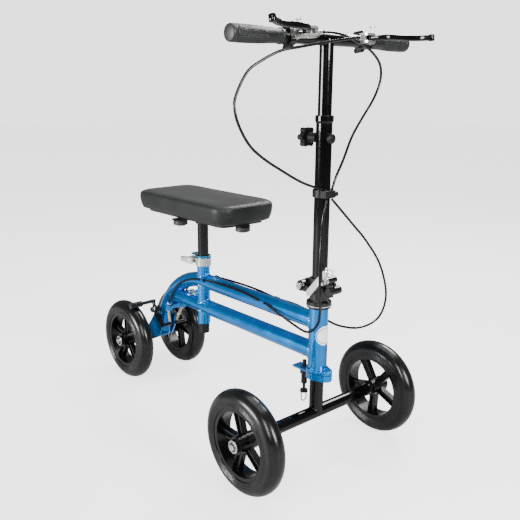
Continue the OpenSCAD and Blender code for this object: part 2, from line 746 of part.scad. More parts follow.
// Hand lever: hub, curved blade and a turned-out end
module lever() {
    blade = [[30, 80, 7], [47, 93, 5], [56, 112, 4.5], [58, 150, 4.5], [65, 178, 4.5], [78, 199, 5]];
    difference() {
        union() {
            translate([lever_pivot[0], lever_pivot[1], -3.9]) cylinder(r = 7, h = 7.8);
            for (i = [0 : len(blade) - 2]) hull() for (p = [blade[i], blade[i + 1]])
                translate([p[0], p[1], i == 0 ? -3.9 : -5]) cylinder(r = p[2], h = i == 0 ? 7.8 : 10, $fn = 32);
            translate([78, 199, -6]) cylinder(r = 6, h = 12);
        }
        translate([lever_pivot[0], lever_pivot[1], -20]) cylinder(r = 2.5 + fit, h = 40);
    }
}

module lever_right() color("#111112") on_bar(pitch_r) lever();
module lever_left() color("#111112") on_bar_left(pitch_l) lever();

// ---------------------------------------------------------------- brakes and cables

// Bolt through the bent tube that both brake arms turn on, with a nut at each end
module arm_pivot() color("#c9cbd0") {
    y_rod(pivot[0], pivot[1], -arm_out - 1, arm_out + 1, pivot_bolt_r);
    mirror_y() translate([pivot[0], arm_out + gap, pivot[1]]) rotate([-90, 0, 0]) {
        cylinder(r = 8, h = 1.5);
        cylinder(r = 7, h = 7, $fn = 6);
    }
}

// Brake arm: hub on the pivot bolt, plate down to the cable, bar over the tyre
module brake_arm() difference() {
    union() {
        y_rod(pivot[0], pivot[1], main_d / 2 + 1, arm_out, 8);
        hull() {
            y_rod(pivot[0], pivot[1], arm_in, arm_out, 8);
            y_rod(tail[0], tail[1], arm_in, arm_out, 5);
        }
        y_rod(tail[0], tail[1], 6, arm_out, 4.5);
        rod([pivot[0], arm_out - 4.5, pivot[1]], [bar_pt[0], arm_out - 4.5, bar_pt[1]], 4.5);
        y_rod(bar_pt[0], bar_pt[1], arm_out - 9, 98, 4.5);
        y_rod(bar_pt[0], bar_pt[1], rear_track / 2 - 16, rear_track / 2 + 16, 7.6);
    }
    y_rod(pivot[0], pivot[1], 0, 60, pivot_bolt_r + fit);
}

module brake_arm_right() color("#0c0c0d") mirror([0, 1, 0]) brake_arm();
module brake_arm_left() color("#0c0c0d") brake_arm();

// Return spring and inner wire from each adjuster down to its arm
module brake_wires() color("#cfc6a8") mirror_y() {
    top = [boss[0] - 3.8, boss[1] - 1, boss[2] - 12.6];
    rod(top, wire_end, 3.6);
    rod([tail[0] - 6, 9, tail[1] - 4], [-229, 3.5, 107], 0.9);
}

module cables_upper() color("#101011") {
    swept(upper_right, cable_d, 22);
    swept(upper_left, cable_d, 24);
}

module cables_middle() color("#101011") {
    swept(middle_right, cable_d, 18);
    swept(middle_left, cable_d, 20);
}

module cables_frame() color("#101011") {
    swept(frame_right, cable_d, 18);
    swept([for (p = frame_right) [p[0], -p[1], p[2]]], cable_d, 18);
}

tyre_front_right();
tyre_front_left();
tyre_rear_right();
tyre_rear_left();
rim_front_right();
rim_front_left();
rim_rear_right();
rim_rear_left();
head_tube();
top_tube();
lower_tube();
seat_tube();
rear_bracket();
rear_axle();
rear_axle_caps();
head_cups();
seat_clamp();
seat_clamp_cap();
cable_guides();
cable_adjusters();
seat_screw();
seat_lever();
seat_post();
post_plug();
pad_bracket();
pad_knobs();
pad_board();
knee_pad();
steer_stem();
front_axle();
front_axle_caps();
steer_plate();
headset_cap();
fold_base();
fold_pin();
plunger_body();
plunger_pin();
fold_head();
lower_column();
cable_strap();
latch_bar();
cam_lever();
height_bolt();
star_knob();
upper_tube();
handlebar();
grips();
bar_clamps();
perches();
lock_pin_right();
lock_pin_left();
lever_right();
lever_left();
arm_pivot();
brake_arm_right();
brake_arm_left();
cables_upper();
cables_middle();
cables_frame();
brake_wires();
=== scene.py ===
"""Looks of the knee scooter: materials, tyres, padded knee rest, cables and springs on the fixed frame."""

import json
import math

import bmesh
import bpy
import numpy as np
from mathutils import Matrix, Vector
from mathutils.bvhtree import BVHTree


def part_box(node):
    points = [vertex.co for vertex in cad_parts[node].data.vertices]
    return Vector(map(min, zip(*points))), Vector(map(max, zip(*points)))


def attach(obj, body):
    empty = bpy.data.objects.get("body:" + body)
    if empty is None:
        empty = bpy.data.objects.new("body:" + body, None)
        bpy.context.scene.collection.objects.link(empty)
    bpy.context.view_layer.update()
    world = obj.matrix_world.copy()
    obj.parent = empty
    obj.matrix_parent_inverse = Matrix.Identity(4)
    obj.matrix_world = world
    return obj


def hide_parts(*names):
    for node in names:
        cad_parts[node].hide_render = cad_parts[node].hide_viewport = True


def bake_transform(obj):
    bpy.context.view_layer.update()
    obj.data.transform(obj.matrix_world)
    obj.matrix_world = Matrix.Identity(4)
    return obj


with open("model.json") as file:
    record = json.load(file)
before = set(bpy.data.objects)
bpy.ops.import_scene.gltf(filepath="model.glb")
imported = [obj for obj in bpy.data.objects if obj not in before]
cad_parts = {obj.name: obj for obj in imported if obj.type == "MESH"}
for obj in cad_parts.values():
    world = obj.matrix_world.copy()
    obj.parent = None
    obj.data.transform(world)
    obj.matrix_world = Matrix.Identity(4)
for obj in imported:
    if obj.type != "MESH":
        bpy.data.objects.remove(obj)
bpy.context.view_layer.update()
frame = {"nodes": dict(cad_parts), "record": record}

MM = 0.001
NODES = frame["nodes"]


# ---------------------------------------------------------------- places worked out from the frame

def centre(node):
    low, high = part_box(node)
    return (Vector(low) + Vector(high)) / 2


STEER_X = centre("upper_tube").x
POST_X = centre("seat_post").x
BAR_Z = centre("handlebar").z
WHEEL_R = centre("tyre_front_right").z
HALF_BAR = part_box("grips")[1].y
TUBE_R = 17.5 * MM
TOP_TUBE_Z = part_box("top_tube")[1].z - TUBE_R
LOW_TUBE_Z = centre("lower_tube").z
BADGE_Z = 270 * MM
BOLT_HEAD = 3.5 * MM


# ---------------------------------------------------------------- materials

def new_material(name):
    mat = bpy.data.materials.new(name)
    mat.use_nodes = True
    nodes, links = mat.node_tree.nodes, mat.node_tree.links
    return mat, nodes, links, nodes["Principled BSDF"]


def coordinates(nodes):
    return nodes.new("ShaderNodeTexCoord").outputs["Object"]


def noise(nodes, links, vector, scale, detail=4, roughness=0.6):
    tex = nodes.new("ShaderNodeTexNoise")
    tex.inputs["Scale"].default_value = scale
    tex.inputs["Detail"].default_value = detail
    tex.inputs["Roughness"].default_value = roughness
    links.new(vector, tex.inputs["Vector"])
    return tex.outputs["Fac"]


def ramp(nodes, links, value, low, high, at=(0.3, 0.7)):
    """Colour ramp between two colours, or two grey levels."""
    node = nodes.new("ShaderNodeValToRGB")
    for element, place, colour in zip(node.color_ramp.elements, at, (low, high)):
        element.position = place
        element.color = (*colour, 1) if isinstance(colour, tuple) else (colour, colour, colour, 1)
    links.new(value, node.inputs["Fac"])
    return node.outputs["Color"]


def bump(nodes, links, height, strength, distance, normal=None):
    node = nodes.new("ShaderNodeBump")
    node.inputs["Strength"].default_value = strength
    node.inputs["Distance"].default_value = distance
    links.new(height, node.inputs["Height"])
    if normal is not None:
        links.new(normal, node.inputs["Normal"])
    return node.outputs["Normal"]


def surface(name, dark, light, rough, metallic=0.0, coat=0.0, coat_rough=0.05, grain=900, depth=0.15,
            blotch=25, sheen=0.0, grain_distance=0.0002, spec=0.5):
    """A worn, slightly uneven surface: blotchy colour and roughness with a fine grain in its bump."""
    mat, nodes, links, shader = new_material(name)
    vector = coordinates(nodes)
    broad = noise(nodes, links, vector, blotch)
    fine = noise(nodes, links, vector, grain, detail=2)
    links.new(ramp(nodes, links, broad, dark, light), shader.inputs["Base Color"])
    links.new(ramp(nodes, links, broad, rough[0], rough[1]), shader.inputs["Roughness"])
    if depth:
        links.new(bump(nodes, links, fine, depth, grain_distance), shader.inputs["Normal"])
    shader.inputs["Metallic"].default_value = metallic
    shader.inputs["Coat Weight"].default_value = coat
    shader.inputs["Coat Roughness"].default_value = coat_rough
    shader.inputs["Sheen Weight"].default_value = sheen
    shader.inputs["Specular IOR Level"].default_value = spec
    return mat


def vinyl():
    """Pad cover: a fine pebbled leather grain over a soft, uneven sheen."""
    mat, nodes, links, shader = new_material("vinyl")
    vector = coordinates(nodes)
    cells = nodes.new("ShaderNodeTexVoronoi")
    cells.inputs["Scale"].default_value = 620
    links.new(vector, cells.inputs["Vector"])
    broad = noise(nodes, links, vector, 14, detail=5)
    colour = ramp(nodes, links, broad, (0.003, 0.0038, 0.0036), (0.0068, 0.0078, 0.0074))
    links.new(colour, shader.inputs["Base Color"])
    links.new(ramp(nodes, links, broad, 0.42, 0.55), shader.inputs["Roughness"])
    pebbles = bump(nodes, links, cells.outputs["Distance"], 0.25, 0.0004)
    links.new(bump(nodes, links, broad, 0.12, 0.002, pebbles), shader.inputs["Normal"])
    shader.inputs["Sheen Weight"].default_value = 0.04
    shader.inputs["Specular IOR Level"].default_value = 0.28
    return mat


def sticker():
    """Round blank sticker: white with a thin blue ring, no lettering."""
    mat, nodes, links, shader = new_material("badge")
    where = coordinates(nodes)
    spot = nodes.new("ShaderNodeVectorMath")
    spot.operation = "SUBTRACT"
    spot.inputs[1].default_value = (0, 0, BADGE_Z)
    flat = nodes.new("ShaderNodeVectorMath")
    flat.operation = "MULTIPLY"
    flat.inputs[1].default_value = (0, 1, 1)
    far = nodes.new("ShaderNodeVectorMath")
    far.operation = "LENGTH"
    links.new(where, spot.inputs[0])
    links.new(spot.outputs["Vector"], flat.inputs[0])
    links.new(flat.outputs["Vector"], far.inputs[0])
    scaled = nodes.new("ShaderNodeMath")
    scaled.operation = "MULTIPLY"
    scaled.inputs[1].default_value = 1 / (24 * MM)
    links.new(far.outputs["Value"], scaled.inputs[0])
    rings = nodes.new("ShaderNodeValToRGB")
    rings.color_ramp.interpolation = "CONSTANT"
    links.new(scaled.outputs[0], rings.inputs["Fac"])
    white, blue = (0.8, 0.82, 0.83, 1), (0.02, 0.16, 0.42, 1)
    inner, ring = rings.color_ramp.elements
    inner.color = white
    ring.position = 0.62
    ring.color = blue
    rings.color_ramp.elements.new(0.68).color = white
    links.new(rings.outputs["Color"], shader.inputs["Base Color"])
    fine = noise(nodes, links, where, 800, detail=2)
    links.new(bump(nodes, links, fine, 0.05, 0.0002), shader.inputs["Normal"])
    shader.inputs["Roughness"].default_value = 0.35
    return mat


BLUE = surface("metallic_blue", (0.0, 0.135, 0.42), (0.0, 0.185, 0.54), (0.22, 0.29), metallic=0.8,
               coat=0.35, coat_rough=0.04, grain=2600, depth=0.04, spec=0.25)
BLACK = surface("gloss_black_paint", (0.0008, 0.0008, 0.001), (0.0018, 0.0018, 0.002), (0.12, 0.2),
                coat=0.3, coat_rough=0.03, grain=1400, depth=0.03, spec=0.1)
BLACK_CAST = surface("black_casting", (0.002, 0.002, 0.0022), (0.005, 0.005, 0.0055), (0.22, 0.34),
                     coat=0.4, coat_rough=0.07, grain=1200, depth=0.16, spec=0.2)
PLASTIC = surface("black_plastic", (0.0035, 0.0035, 0.004), (0.008, 0.008, 0.0085), (0.3, 0.42),
                  grain=1800, depth=0.18, spec=0.25)
RIM = surface("rim_plastic", (0.002, 0.002, 0.0025), (0.005, 0.005, 0.0055), (0.2, 0.3), coat=0.15,
              coat_rough=0.1, grain=1500, depth=0.05, spec=0.2)
TYRE = surface("tyre_rubber", (0.002, 0.0022, 0.0024), (0.005, 0.0052, 0.0055), (0.22, 0.34),
               grain=1300, depth=0.12, blotch=40, coat=0.2, coat_rough=0.16, spec=0.2)
GRIP = surface("grip_rubber", (0.008, 0.0085, 0.009), (0.016, 0.0165, 0.017), (0.38, 0.52),
               grain=1500, depth=0.2, blotch=60, grain_distance=0.0003, spec=0.4)
VINYL = vinyl()
KNOB_GREY = surface("grey_plastic", (0.016, 0.017, 0.018), (0.03, 0.031, 0.032), (0.36, 0.46),
                    grain=1500, spec=0.35)
CHROME = surface("chrome", (0.78, 0.79, 0.8), (0.9, 0.9, 0.91), (0.05, 0.12), metallic=1.0,
                 grain=700, depth=0.02)
SILVER = surface("cast_aluminium", (0.44, 0.44, 0.43), (0.64, 0.64, 0.62), (0.22, 0.34), metallic=0.9,
                 grain=1100, depth=0.25)
ZINC = surface("zinc_plate", (0.4, 0.41, 0.42), (0.6, 0.6, 0.61), (0.18, 0.3), metallic=1.0, grain=900,
               depth=0.1)
TEAL = surface("teal_anodised", (0.004, 0.12, 0.22), (0.01, 0.20, 0.33), (0.2, 0.3), metallic=0.85,
               coat=0.4)
WIRE = surface("spring_steel", (0.55, 0.48, 0.28), (0.76, 0.66, 0.42), (0.22, 0.35), metallic=1.0,
               grain=2000)
CABLE = surface("cable_housing", (0.0015, 0.0015, 0.002), (0.004, 0.004, 0.0045), (0.2, 0.3), coat=0.2,
                grain=2500, depth=0.06, spec=0.2)
BADGE = sticker()
WELD = surface("weld_paint", (0.0, 0.2, 0.48), (0.05, 0.36, 0.7), (0.16, 0.3), metallic=0.75, coat=1.0,
               grain=260, depth=0.5, grain_distance=0.0006)

FINISHES = {
    BLUE: ["head_tube", "top_tube", "lower_tube", "seat_tube", "rear_bracket", "steer_plate",
           "cable_guides"],
    BLACK: ["steer_stem", "front_axle", "lower_column", "upper_tube", "handlebar", "seat_post", "rear_axle",
            "lever_right", "lever_left"],
    BLACK_CAST: ["headset_cap", "head_cups", "fold_base", "fold_head", "latch_bar", "bar_clamps",
                 "brake_arm_right", "brake_arm_left", "plunger_body", "plunger_pin", "pad_bracket"],
    PLASTIC: ["post_plug", "cable_strap", "height_bolt", "star_knob", "pad_board"],
    RIM: ["rim_front_right", "rim_front_left", "rim_rear_right", "rim_rear_left"],
    TYRE: ["tyre_front_right", "tyre_front_left", "tyre_rear_right", "tyre_rear_left"],
    GRIP: ["grips"],
    VINYL: ["knee_pad"],
    KNOB_GREY: ["pad_knobs"],
    CHROME: ["seat_screw", "seat_lever"],
    SILVER: ["cable_adjusters", "seat_clamp", "perches", "cam_lever"],
    ZINC: ["front_axle_caps", "rear_axle_caps", "lock_pin_right", "lock_pin_left", "fold_pin", "arm_pivot"],
    TEAL: ["seat_clamp_cap"],
    WIRE: ["brake_wires"],
    CABLE: ["cables_upper", "cables_middle", "cables_frame"],
}
FINISH = {node: mat for mat, names in FINISHES.items() for node in names}
BODY = {node: body for body, names in frame["record"]["behaviour"]["bodies"].items() for node in names}
for node, mat in FINISH.items():
    for material_slot in NODES[node].material_slots:
        material_slot.material = mat


# ---------------------------------------------------------------- making pieces

def add_piece(name, mesh, mat, body, replaces=(), smooth=True):
    obj = bpy.data.objects.new(name, mesh)
    bpy.context.collection.objects.link(obj)
    mesh.materials.clear()
    mesh.materials.append(mat)
    for face in mesh.polygons:
        face.use_smooth = smooth
    if body:
        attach(obj, body)
    if replaces:
        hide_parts(*replaces)
    return obj


def mesh_from(name, verts, faces):
    mesh = bpy.data.meshes.new(name)
    mesh.from_pydata([tuple(v) for v in verts], [], faces)
    mesh.validate()
    return mesh


def softened(node, width=0.6 * MM, segments=2, angle=35):
    """The CAD node's own shape with its sharp edges rounded, as a part from a mould or a press has."""
    mesh = NODES[node].data.copy()
    mesh.name = f"{node}_soft"
    bm = bmesh.new()
    bm.from_mesh(mesh)
    bmesh.ops.remove_doubles(bm, verts=bm.verts, dist=1e-6)
    bmesh.ops.dissolve_limit(bm, angle_limit=math.radians(0.6), verts=bm.verts, edges=bm.edges)
    bm.to_mesh(mesh)
    bm.free()
    if mesh.has_custom_normals:
        with bpy.context.temp_override(object=None):
            mesh.attributes.remove(mesh.attributes["custom_normal"])
    obj = add_piece(f"{node}_soft", mesh, FINISH[node], BODY[node], [node])
    edge = obj.modifiers.new("Bevel", "BEVEL")
    edge.width, edge.segments = width, segments
    edge.limit_method, edge.angle_limit = "ANGLE", math.radians(angle)
    edge.use_clamp_overlap = True
    edge.harden_normals = False
    normals = obj.modifiers.new("Normals", "WEIGHTED_NORMAL")
    normals.keep_sharp = False


def turns_round(count):
    """Angles all the way round, with the full turn at the end."""
    return [2 * math.pi * k / count for k in range(count + 1)]


def bands(rings, sides, closed=False):
    """Faces between each ring of points and the next. closed joins the last ring to the first."""
    faces = []
    for i in range(rings if closed else rings - 1):
        low, high = i * sides, (i + 1) % rings * sides
        for k in range(sides):
            m = (k + 1) % sides
            faces.append((low + k, low + m, high + m, high + k))
    return faces


def capped(rings, sides):
    """Faces of a tube through rings of points, with both of its ends closed."""
    last = (rings - 1) * sides
    return [*bands(rings, sides), tuple(range(sides - 1, -1, -1)), tuple(range(last, last + sides))]


def lathe(profile, segments, place):
    """Mesh of a closed outline of (radius, offset) turned about the Y axis through place."""
    verts = []
    for a in turns_round(segments)[:-1]:
        for radius, offset in profile:
            verts.append(Vector((radius * math.cos(a), offset, radius * math.sin(a))) + place)
    return mesh_from("lathe", verts, bands(segments, len(profile), closed=True))


def spline(points, rings):
    """Evenly spaced points on the smooth curve through a list of points."""
    pts = [Vector(p) for p in points]
    pts = [2 * pts[0] - pts[1], *pts, 2 * pts[-1] - pts[-2]]
    fine = []
    for i in range(1, len(pts) - 2):
        p0, p1, p2, p3 = pts[i - 1:i + 3]
        for k in range(16):
            t = k / 16
            fine.append(0.5 * (2 * p1 + (p2 - p0) * t + (2 * p0 - 5 * p1 + 4 * p2 - p3) * t * t
                               + (3 * p1 - p0 - 3 * p2 + p3) * t ** 3))
    fine.append(pts[-2])
    for _ in range(6):
        inner = [(a + 2 * b + c) / 4 for a, b, c in zip(fine, fine[1:], fine[2:])]
        fine = [fine[0], *inner, fine[-1]]
    lengths = np.concatenate([[0], np.cumsum([(b - a).length for a, b in zip(fine, fine[1:])])])
    even = np.linspace(0, lengths[-1], rings)
    xyz = np.array([tuple(p) for p in fine])
    return [Vector([np.interp(s, lengths, xyz[:, c]) for c in range(3)]) for s in even]


def swept(name, line, radius, sides=14, ripple=None):
    """Tube along a line of points. ripple gives each ring's own radius factor."""
    side = Vector((0.31, 0.43, 0.85))
    verts = []
    for i, p in enumerate(line):
        along = (line[min(i + 1, len(line) - 1)] - line[max(i - 1, 0)]).normalized()
        side = (side - side.dot(along) * along).normalized()
        other = along.cross(side)
        r = radius * (ripple(i) if ripple else 1)
        for a in turns_round(sides)[:-1]:
            verts.append(p + r * (math.cos(a) * side + math.sin(a) * other))
    return mesh_from(name, verts, capped(len(line), sides))


# ---------------------------------------------------------------- camera, floor and light

def make_camera():
    """Camera in front of the scooter and to its right, aimed back and a little down."""
    place = Vector((1.1497, -0.9018, 0.7383))
    yaw, pitch, roll = math.radians(49.314), math.radians(14.385), math.radians(0.241)
    ahead = Vector((-math.sin(yaw) * math.cos(pitch), math.cos(yaw) * math.cos(pitch), -math.sin(pitch)))
    right = Vector((math.cos(yaw), math.sin(yaw), 0))
    up = right.cross(ahead)
    right, up = (math.cos(roll) * right + math.sin(roll) * up, math.cos(roll) * up - math.sin(roll) * right)
    data = bpy.data.cameras.new("camera")
    data.lens, data.sensor_width = 46.17, 36
    data.shift_x, data.shift_y = 0.0143, -0.0042
    data.clip_start = 0.05
    cam = bpy.data.objects.new("camera", data)
    turned = Matrix((right, up, -ahead)).transposed().to_4x4()
    cam.matrix_world = Matrix.Translation(place) @ turned
    bpy.context.collection.objects.link(cam)
    bpy.context.scene.camera = cam


def area_light(name, place, aim, size, power):
    """Rectangular lamp of a size in metres, aimed at a point, that the camera doesn't see."""
    data = bpy.data.lights.new(name, "AREA")
    data.shape = "RECTANGLE"
    data.size, data.size_y = size
    data.energy = power
    obj = bpy.data.objects.new(name, data)
    obj.location = place
    obj.rotation_mode = "QUATERNION"
    obj.rotation_quaternion = (Vector(aim) - Vector(place)).to_track_quat("-Z", "Y")
    obj.visible_camera = False
    bpy.context.collection.objects.link(obj)


# The camera sees the floor and the backdrop brighter than they light the object
FLOOR_GLOW = 2.2
BACKDROP_GLOW = 2.4
ROOM_LIGHT = 0.2
FLOOR_REACH = 12


def make_floor():
    """Wide pale floor just under the wheels."""
    corners = [(x * FLOOR_REACH, y * FLOOR_REACH, 0) for x, y in ((-1, -1), (1, -1), (1, 1), (-1, 1))]
    mesh = mesh_from("floor", corners, [(0, 1, 2, 3)])
    mat = surface("studio_floor", (0.42, 0.42, 0.42), (0.44, 0.44, 0.44), (0.5, 0.6),
                  grain=40, depth=0.0, blotch=2)
    nodes, links = mat.node_tree.nodes, mat.node_tree.links
    shader = nodes["Principled BSDF"]
    glow = nodes.new("ShaderNodeMath")
    glow.operation = "MULTIPLY"
    glow.inputs[1].default_value = FLOOR_GLOW
    links.new(nodes.new("ShaderNodeLightPath").outputs["Is Camera Ray"], glow.inputs[0])
    links.new(glow.outputs[0], shader.inputs["Emission Strength"])
    shader.inputs["Emission Color"].default_value = (1, 1, 1, 1)
    floor = bpy.data.objects.new("floor", mesh)
    mesh.materials.append(mat)
    floor.location.z = -0.4 * MM
    bpy.context.collection.objects.link(floor)


def make_world():
    """Dim white room round the object, with a bright backdrop for the camera."""
    world = bpy.data.worlds.new("studio")
    world.use_nodes = True
    nodes, links = world.node_tree.nodes, world.node_tree.links
    room = nodes["Background"]
    room.inputs["Color"].default_value = (1, 1, 1, 1)
    room.inputs["Strength"].default_value = ROOM_LIGHT
    backdrop = nodes.new("ShaderNodeBackground")
    backdrop.inputs["Color"].default_value = (1, 1, 1, 1)
    backdrop.inputs["Strength"].default_value = BACKDROP_GLOW
    seen = nodes.new("ShaderNodeLightPath")
    mix = nodes.new("ShaderNodeMixShader")
    links.new(seen.outputs["Is Camera Ray"], mix.inputs["Fac"])
    links.new(room.outputs["Background"], mix.inputs[1])
    links.new(backdrop.outputs["Background"], mix.inputs[2])
    links.new(mix.outputs["Shader"], nodes["World Output"].inputs["Surface"])
    bpy.context.scene.world = world


def make_lights():
    area_light("side_box", (-0.6, -2.4, 0.75), (0, 0, 0.35), (1.1, 0.5), 125)
    area_light("front_box", (2.7, 0.1, 1.35), (0, 0, 0.35), (0.55, 1.0), 100)
    area_light("streak_box", (2.1, -2.1, 1.9), (0, 0, 0.3), (0.25, 1.5), 75)
    area_light("back_box", (-0.1, 1.7, 2.1), (0.1, 0, 0.2), (1.2, 0.5), 80)
    area_light("top_box", (0.0, 0.3, 2.8), (0, 0, 0), (2.2, 2.2), 60)


# ---------------------------------------------------------------- wheels

def tyre_profile():
    """Outline of the tyre: round tread, flat sidewalls with four fine grooves, and the bead."""
    r, bead_r = 20 * MM, 70 * MM
    middle = WHEEL_R - r
    half = []
    for k in range(25):
        a = math.radians(90 * k / 24)
        half.append((middle + r * math.cos(a), r * math.sin(a)))
    for groove, sunk in ((80.4, 0.1), (77.6, 0.25), (75.4, 0.4), (73.2, 0.5)):
        g, flank = groove * MM, r - sunk * MM
        half += [(g + 0.9 * MM, flank), (g + 0.5 * MM, flank - 0.15 * MM), (g, flank - 0.9 * MM),
                 (g - 0.5 * MM, flank - 0.15 * MM), (g - 0.9 * MM, flank)]
    half += [(bead_r + 1 * MM, r - 1.1 * MM), (bead_r, r - 2.2 * MM)]
    return half + [(a, -b) for a, b in reversed(half) if b > 1e-6]


def make_tyre(node):
    mesh = lathe(tyre_profile(), 192, centre(node))
    add_piece(f"{node}_body", mesh, TYRE, BODY[node], [node])


# ---------------------------------------------------------------- knee pad

def rounded_outline(length, width, radius, steps=10):
    """Points round a rectangle with round corners, about the origin."""
    points = []
    for sx, sy, start in ((1, 1, 0), (-1, 1, 90), (-1, -1, 180), (1, -1, 270)):
        for k in range(steps + 1):
            a = math.radians(start + 90 * k / steps)
            points.append((sx * (length / 2 - radius) + radius * math.cos(a),
                           sy * (width / 2 - radius) + radius * math.sin(a)))
    return points


def stacked(name, layers, place):
    """Closed mesh through outlines stacked in z: layers of (height, length, width, corner radius)."""
    verts = []
    for z, length, width, radius in layers:
        ring = rounded_outline(length, width, radius)
        verts += [Vector((x, y, z)) + place for x, y in ring]
    return mesh_from(name, verts, capped(len(layers), len(ring)))


def puff(obj, voxel, pressure, cap, held_below):
    """Voxel remesh and cloth under pressure, keeping the smoothed outward swelling, up to cap."""
    bpy.context.view_layer.objects.active = obj
    remesh = obj.modifiers.new("Remesh", "REMESH")
    remesh.mode, remesh.voxel_size = "VOXEL", voxel
    with bpy.context.temp_override(object=obj, active_object=obj, selected_objects=[obj]):
        bpy.ops.object.modifier_apply(modifier=remesh.name)
    count = len(obj.data.vertices)
    rest = np.empty(count * 3)
    obj.data.vertices.foreach_get("co", rest)
    rest = rest.reshape(-1, 3)
    held = obj.vertex_groups.new(name="held")
    held.add([i for i in range(count) if rest[i, 2] < held_below], 1.0, "REPLACE")
    cloth = obj.modifiers.new("Cloth", "CLOTH")
    cloth.settings.use_pressure = True
    cloth.settings.uniform_pressure_force = pressure
    cloth.settings.effector_weights.gravity = 0
    cloth.settings.vertex_group_mass = "held"
    cloth.settings.tension_stiffness = 40
    cloth.settings.compression_stiffness = 40
    cloth.point_cache.frame_start, cloth.point_cache.frame_end = 1, 20
    for number in range(1, 21):
        bpy.context.scene.frame_set(number)
    shown = obj.evaluated_get(bpy.context.evaluated_depsgraph_get())
    moved = np.empty(count * 3)
    shown.data.vertices.foreach_get("co", moved)
    normals = np.empty(count * 3)
    obj.data.vertices.foreach_get("normal", normals)
    normals = normals.reshape(-1, 3)
    swell = np.clip(((moved.reshape(-1, 3) - rest) * normals).sum(1), 0, cap)
    ends = np.array([edge.vertices[:] for edge in obj.data.edges])
    ends = np.vstack([ends, ends[:, ::-1]])
    degree = np.bincount(ends[:, 0], minlength=count)
    for _ in range(60):
        swell = 0.5 * swell + 0.5 * np.bincount(ends[:, 0], swell[ends[:, 1]], count) / degree
    obj.modifiers.remove(cloth)
    obj.data.vertices.foreach_set("co", (rest + normals * swell[:, None]).ravel())
    obj.data.update()
    bpy.context.scene.frame_set(1)


def line_round(obj, place, z, count):
    """Closed line of points that lies on a piece's own surface at one height, all the way round."""
    tree = BVHTree.FromObject(obj, bpy.context.evaluated_depsgraph_get())
    line = []
    for a in turns_round(count):
        away = Vector((math.cos(a), math.sin(a), 0))
        hit = tree.ray_cast(Vector((place.x, place.y, z)) + away, -away)[0]
        line.append(hit - 0.35 * MM * away)
    return line


# Section of the pad: share of its height, inset from its sides and corner radius, both in millimetres
PAD_LAYERS = [(0.0, 9, 26), (0.04, 6.5, 28), (0.2, 3.0, 30), (0.5, 0.8, 31), (0.78, 0, 31),
              (0.86, 0.6, 31), (0.92, 2.6, 30), (0.965, 6, 28), (0.99, 11, 25), (1.0, 18, 21)]
PAD_FOOT = 4 * MM


def make_pad():
    low, high = (Vector(v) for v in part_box("knee_pad"))
    length, width, height = high - low
    place = Vector(((low.x + high.x) / 2, (low.y + high.y) / 2, low.z))
    swell = 3 * MM
    layers = []
    for share, inset, radius in PAD_LAYERS:
        layers.append((share * (height - swell), length - 2 * swell - 2 * inset * MM,
                       width - 2 * swell - 2 * inset * MM, radius * MM))
    mesh = stacked("pad", layers, place)
    pad = add_piece("pad_cover", mesh, VINYL, None)
    puff(pad, voxel=4.5 * MM, pressure=4.0, cap=3.5 * MM, held_below=low.z + PAD_FOOT)
    for face in pad.data.polygons:
        face.use_smooth = True
    soft = pad.modifiers.new("Smooth", "SMOOTH")
    soft.iterations, soft.factor = 6, 0.5
    sub = pad.modifiers.new("Subdivision", "SUBSURF")
    sub.levels = sub.render_levels = 1
    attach(pad, BODY["knee_pad"])
    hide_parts("knee_pad")
    for name, z, radius in (("pad_top_seam", low.z + 0.80 * height, 0.9 * MM),
                            ("pad_foot_seam", low.z + PAD_FOOT, 1.0 * MM)):
        seam = swept(name, line_round(pad, place, z, 220), radius, 8)
        add_piece(name, seam, VINYL, BODY["knee_pad"])


# ---------------------------------------------------------------- cables

# Routes of the brake cables' housings, in millimetres, as in the part's source
UPPER_RIGHT = [(333, -45, 828), (329, -20, 829), (327, 8, 827), (321, 42, 821), (313, 95, 808),
               (305, 136, 788), (299, 154, 767), (295, 155, 743), (295, 139, 715), (299, 104, 681),
               (305, 70, 648), (313, 39, 607), (317, 17, 579), (317.5, 6, 555)]
UPPER_LEFT = [(334, 45, 824), (332, 20, 820), (330, -17, 815), (321, -87, 803), (313, -123, 796),
              (305, -157, 780), (299, -184, 761), (295, -205, 722), (297, -207, 697), (300, -198, 670),
              (303, -180, 643), (307, -155, 622), (311, -118, 600), (314, -70, 575), (315, -16, 556)]
MIDDLE_RIGHT = [(318, -8, 537.5), (319, -17, 505), (320, -21, 464), (324, -27, 418), (330, -31, 361),
                (329, -28, 335), (323, -25, 305), (311, -25.5, 287), (297, -26, 278), (280, -26, 277),
                (238, -24, 285), (190, -21.5, 296), (164, -20.2, 302.5)]
MIDDLE_LEFT = [(318, 6, 537.5), (322, 28, 515), (323, 66, 480), (322, 105, 445), (319, 157, 386),
               (313, 190, 313), (303, 181, 262), (293, 134, 248), (285, 80, 262), (279, 44, 282),
               (262, 27, 294), (215, 21.5, 303), (164, 20.2, 302.5)]
FRAME_RIGHT = [(150.5, -20.2, 302.5), (100, -19, 307), (45, -18.5, 308), (-10, -18.5, 306.5),
               (-47, -19, 304), (-86, -20.4, 298), (-125, -21.5, 286), (-155, -21.5, 268),
               (-176, -21.5, 246), (-188, -21.3, 224), (-193, -21, 215)]
FRAME_LEFT = [(x, -y, z) for x, y, z in FRAME_RIGHT]
TURN_POINT = 5      # point of a middle route where two stretches meet
HOUSING_R = 2.5 * MM


def metres(points):
    return [Vector(p) * MM for p in points]


def cable(name, line, node, body=None, bend=None):
    """A stretch of housing that rides on one body, or, when bend is given, is baked where it lies and rides
    on none.
    """
    mesh = swept(name, line, HOUSING_R, 16)
    piece = add_piece(name, mesh, CABLE, body, [node])
    if bend:
        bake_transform(piece)


